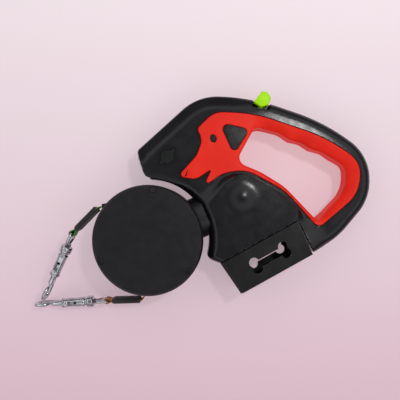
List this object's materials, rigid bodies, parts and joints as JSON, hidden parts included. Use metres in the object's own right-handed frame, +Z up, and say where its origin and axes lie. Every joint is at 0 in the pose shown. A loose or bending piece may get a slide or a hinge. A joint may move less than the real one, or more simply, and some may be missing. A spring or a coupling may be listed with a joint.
{
  "type": "retractable leash",
  "caption": "Hand-held retractable leash for two dogs: pistol-shaped handle with soft grip and torch, swivelling double reel, snap hooks and a bag drawer.",
  "frame": {"origin": "centre of the reel case's underside, with the leash lying on its side", "axes": "+Z up through the reel's axle, +X from the reel towards the grip, +Y towards the brake buttons"},
  "size_m": [0.3201, 0.2059, 0.048],
  "materials": {
    "shell": "fine satin texture",
    "case": "fine satin texture",
    "grip_red": "soft satin",
    "lime": "semi gloss",
    "orange": "semi gloss",
    "bolt_chrome": "polished",
    "steel": "plain",
    "brass": "plain",
    "pom": "natural acetal",
    "tape_black": "woven nylon",
    "tape_green": "woven nylon",
    "tape_orange": "woven nylon",
    "sleeve_black": "satin",
    "lens": "clear",
    "pcb": "solder mask",
    "led": "gloss",
    "cell": "satin",
    "button_dark": "satin"
  },
  "bodies": {
    "handle": {"handle_shell_front": "shell", "handle_shell_back": "shell", "grip_overmould_front": "grip_red", "grip_overmould_back": "grip_red", "handle_screws": "steel", "swivel_bush": "pom", "torch_bezel": "bolt_chrome", "torch_lens": "lens", "torch_reflector": "bolt_chrome", "torch_led": "led", "torch_board": "pcb", "torch_switch": "button_dark", "battery_cells": "cell", "battery_contacts": "brass", "lever_pivot_pin": "steel", "green_button_spring": "steel", "orange_button_spring": "steel", "green_return_spring": "steel", "orange_return_spring": "steel"},
    "torch_button": {"torch_button": "button_dark"},
    "bag_drawer": {"bag_drawer": "shell"},
    "reel": {"reel_frame": "case", "reel_axle": "steel", "green_reel_cover": "case", "green_cover_screws": "steel", "green_exit_guide": "button_dark", "green_leash_lead": "tape_black", "orange_reel_cover": "case", "orange_cover_screws": "steel", "orange_exit_guide": "button_dark", "orange_leash_lead": "tape_black"},
    "green_push_rod": {"green_push_rod": "steel"},
    "orange_push_tube": {"orange_push_tube": "pom"},
    "green_brake_button": {"green_brake_button": "lime"},
    "green_brake_lever": {"green_brake_lever": "pom"},
    "green_brake_plunger": {"green_brake_plunger": "pom"},
    "green_spool": {"green_spool": "pom", "green_tape_coil": "tape_green", "green_mainspring": "steel"},
    "green_leash_end": {"green_leash_sleeve": "sleeve_black", "green_leash_loop": "tape_green"},
    "green_snap_eye": {"green_snap_eye": "bolt_chrome"},
    "green_snap": {"green_snap_body": "bolt_chrome", "green_bolt_spring": "steel"},
    "green_snap_bolt": {"green_snap_bolt": "bolt_chrome"},
    "orange_brake_button": {"orange_brake_button": "orange"},
    "orange_brake_lever": {"orange_brake_lever": "pom"},
    "orange_brake_plunger": {"orange_brake_plunger": "pom"},
    "orange_spool": {"orange_spool": "pom", "orange_tape_coil": "tape_orange", "orange_mainspring": "steel"},
    "orange_leash_end": {"orange_leash_sleeve": "sleeve_black", "orange_leash_loop": "tape_orange"},
    "orange_snap_eye": {"orange_snap_eye": "bolt_chrome"},
    "orange_snap": {"orange_snap_body": "bolt_chrome", "orange_bolt_spring": "steel"},
    "orange_snap_bolt": {"orange_snap_bolt": "bolt_chrome"}
  },
  "joints": [
    {"name": "reel_swivel", "type": "hinge", "parent": "handle", "child": "reel", "pos_m": [0, 0, 0.024], "axis": [0.9157, 0.4019, 0], "continuous": true},
    {"name": "torch_press", "type": "slide", "parent": "handle", "child": "torch_button", "axis": [0, 0, -1], "range_m": [0, 0.0012], "stiffness_N_per_m": 400},
    {"name": "drawer_slide", "type": "slide", "parent": "handle", "child": "bag_drawer", "axis": [-0.8738, -0.4863, 0], "range_m": [0, 0.06]},
    {"name": "green_button_press", "type": "slide", "parent": "handle", "child": "green_brake_button", "axis": [-0.2079, -0.9781, 0], "range_m": [0, 0.0021], "stiffness_N_per_m": 400, "deforming": ["green_button_spring", "green_return_spring"]},
    {"name": "green_lever_turn", "type": "hinge", "parent": "handle", "child": "green_brake_lever", "pos_m": [0.072, 0.085, 0.024], "axis": [0, 0, 1], "range_deg": [-4.7, 0]},
    {"name": "green_rod_slide", "type": "slide", "parent": "handle", "child": "green_push_rod", "axis": [-0.9157, -0.4019, 0], "range_m": [0, 0.00401]},
    {"name": "green_plunger_slide", "type": "slide", "parent": "reel", "child": "green_brake_plunger", "axis": [-0.9157, -0.4019, 0], "range_m": [0, 0.00401]},
    {"name": "green_spool_spin", "type": "hinge", "parent": "reel", "child": "green_spool", "pos_m": [0, 0, 0.024], "axis": [0, 0, 1], "range_deg": [0, 22.5], "stiffness_Nm_per_rad": 0.3, "springref_deg": -17.19, "deforming": ["green_mainspring"]},
    {"name": "green_leash_pull", "type": "slide", "parent": "reel", "child": "green_leash_end", "axis": [-0.6984, -0.7157, 0], "range_m": [0, 0.0141]},
    {"name": "green_snap_swing", "type": "hinge", "parent": "green_leash_end", "child": "green_snap_eye", "pos_m": [-0.0697, 0.00626, 0.036], "axis": [-0.0693, -0.1402, 0.9877], "range_deg": [-60, 0]},
    {"name": "green_snap_spin", "type": "hinge", "parent": "green_snap_eye", "child": "green_snap", "pos_m": [-0.0697, 0.00626, 0.036], "axis": [-0.4376, -0.8854, -0.1564], "continuous": true},
    {"name": "green_bolt_slide", "type": "slide", "parent": "green_snap", "child": "green_snap_bolt", "axis": [0.4376, 0.8854, 0.1564], "range_m": [0, 0.0075], "stiffness_N_per_m": 150, "deforming": ["green_bolt_spring"]},
    {"name": "orange_button_press", "type": "slide", "parent": "handle", "child": "orange_brake_button", "axis": [-0.2079, -0.9781, 0], "range_m": [0, 0.0021], "stiffness_N_per_m": 400, "deforming": ["orange_button_spring", "orange_return_spring"]},
    {"name": "orange_lever_turn", "type": "hinge", "parent": "handle", "child": "orange_brake_lever", "pos_m": [0.072, 0.085, 0.024], "axis": [0, 0, 1], "range_deg": [-4.7, 0]},
    {"name": "orange_rod_slide", "type": "slide", "parent": "handle", "child": "orange_push_tube", "axis": [-0.9157, -0.4019, 0], "range_m": [0, 0.00401]},
    {"name": "orange_plunger_slide", "type": "slide", "parent": "reel", "child": "orange_brake_plunger", "axis": [-0.9157, -0.4019, 0], "range_m": [0, 0.00401]},
    {"name": "orange_spool_spin", "type": "hinge", "parent": "reel", "child": "orange_spool", "pos_m": [0, 0, 0.024], "axis": [0, 0, -1], "range_deg": [0, 22.5], "stiffness_Nm_per_rad": 0.3, "springref_deg": -17.19, "deforming": ["orange_mainspring"]},
    {"name": "orange_leash_pull", "type": "slide", "parent": "reel", "child": "orange_leash_end", "axis": [-0.9996, -0.0297, 0], "range_m": [0, 0.0141]},
    {"name": "orange_snap_swing", "type": "hinge", "parent": "orange_leash_end", "child": "orange_snap_eye", "pos_m": [-0.04189, -0.06073, 0.012], "axis": [-0.0348, -0.0023, 0.9994], "range_deg": [0, 60]},
    {"name": "orange_snap_spin", "type": "hinge", "parent": "orange_snap_eye", "child": "orange_snap", "pos_m": [-0.04189, -0.06073, 0.012], "axis": [-0.9972, -0.0662, -0.0349], "continuous": true},
    {"name": "orange_bolt_slide", "type": "slide", "parent": "orange_snap", "child": "orange_snap_bolt", "axis": [0.9972, 0.0662, 0.0349], "range_m": [0, 0.0075], "stiffness_N_per_m": 150, "deforming": ["orange_bolt_spring"]}
  ],
  "couplings": [
    {"joint": "green_lever_turn", "follows": "green_button_press", "rad_per_m": -38.952},
    {"joint": "green_rod_slide", "follows": "green_button_press", "ratio": 1.9048},
    {"joint": "green_plunger_slide", "follows": "green_button_press", "ratio": 1.9048},
    {"joint": "green_spool_spin", "follows": "green_leash_pull", "rad_per_m": 27.8},
    {"joint": "orange_lever_turn", "follows": "orange_button_press", "rad_per_m": -38.952},
    {"joint": "orange_rod_slide", "follows": "orange_button_press", "ratio": 1.9048},
    {"joint": "orange_plunger_slide", "follows": "orange_button_press", "ratio": 1.9048},
    {"joint": "orange_spool_spin", "follows": "orange_leash_pull", "rad_per_m": 27.8}
  ]
}
